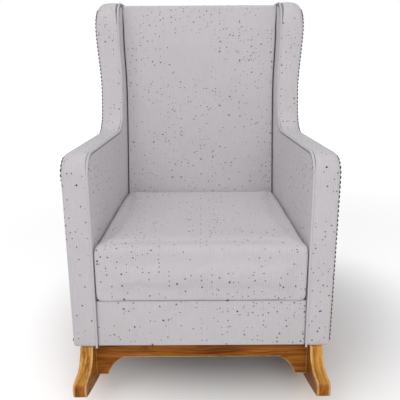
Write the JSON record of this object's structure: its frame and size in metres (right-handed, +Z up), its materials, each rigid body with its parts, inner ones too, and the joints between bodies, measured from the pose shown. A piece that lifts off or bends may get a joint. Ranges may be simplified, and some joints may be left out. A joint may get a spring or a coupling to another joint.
{
  "type": "rocking chair",
  "caption": "Upholstered wing-back rocking armchair with a loose box seat cushion, nailhead trim and a stained wooden rocker base.",
  "frame": {"origin": "on the floor, midway between the rockers, at their lowest points", "axes": "+Z up, +Y towards the back of the chair, +X towards the right of someone facing it"},
  "size_m": [0.677, 0.94, 1.0629],
  "materials": {
    "upholstery_fabric": "matt linen-look weave, pale lilac grey with small dark flecks",
    "piping_fabric": "the same weave on the bias over a cord",
    "stained_wood": "caramel stain under satin varnish",
    "frame_timber": "planed, unfinished",
    "plywood": "sanded, unfinished",
    "foam": "open-cell foam",
    "felt_pad": "pressed felt",
    "dust_cloth": "thin black non-woven cloth",
    "webbing": "jute webbing",
    "antique_nails": "antiqued dark bronze, rubbed on the crowns",
    "zinc_steel": "zinc plated",
    "spring_steel": "black lacquered wire",
    "clip_plastic": "moulded",
    "zip_tape": "woven tape with nylon coil",
    "zip_metal": "grey enamel"
  },
  "bodies": {
    "chair": {"front_apron": "stained_wood", "rear_apron": "stained_wood", "apron_dowels": "frame_timber", "base_corner_blocks": "frame_timber", "base_washers": "zinc_steel", "base_bolts": "zinc_steel", "t_nuts": "zinc_steel", "seat_front_rail": "frame_timber", "seat_rear_rail": "frame_timber", "seat_corner_blocks": "frame_timber", "zigzag_springs": "spring_steel", "spring_clips": "clip_plastic", "seat_deck": "felt_pad", "front_border_padding": "foam", "front_border_cover": "upholstery_fabric", "dust_cover": "dust_cloth", "back_lower_rail": "frame_timber", "back_top_rail": "frame_timber", "back_webbing": "webbing", "back_padding": "foam", "back_cover": "upholstery_fabric", "outside_back": "upholstery_fabric", "right_rocker": "stained_wood", "right_bottom_rail": "frame_timber", "right_front_post": "frame_timber", "right_rear_post": "frame_timber", "right_arm_rail": "frame_timber", "right_wing_board": "plywood", "right_side_padding": "foam", "right_side_cover": "upholstery_fabric", "right_piping": "piping_fabric", "right_nail_trim": "antique_nails", "left_rocker": "stained_wood", "left_bottom_rail": "frame_timber", "left_front_post": "frame_timber", "left_rear_post": "frame_timber", "left_arm_rail": "frame_timber", "left_wing_board": "plywood", "left_side_padding": "foam", "left_side_cover": "upholstery_fabric", "left_piping": "piping_fabric", "left_nail_trim": "antique_nails"},
    "seat_cushion": {"seat_cushion_foam": "foam", "seat_cushion_cover": "upholstery_fabric", "cushion_zip": "zip_tape"},
    "zip_slider": {"zip_slider": "zip_metal"}
  },
  "joints": [
    {"name": "seat_cushion_lift", "type": "slide", "parent": "chair", "child": "seat_cushion", "axis": [0, 0, 1], "range_m": [0, 0.4]},
    {"name": "cushion_zip_slide", "type": "slide", "parent": "seat_cushion", "child": "zip_slider", "axis": [1, 0, 0], "range_m": [0, 0.404]}
  ]
}
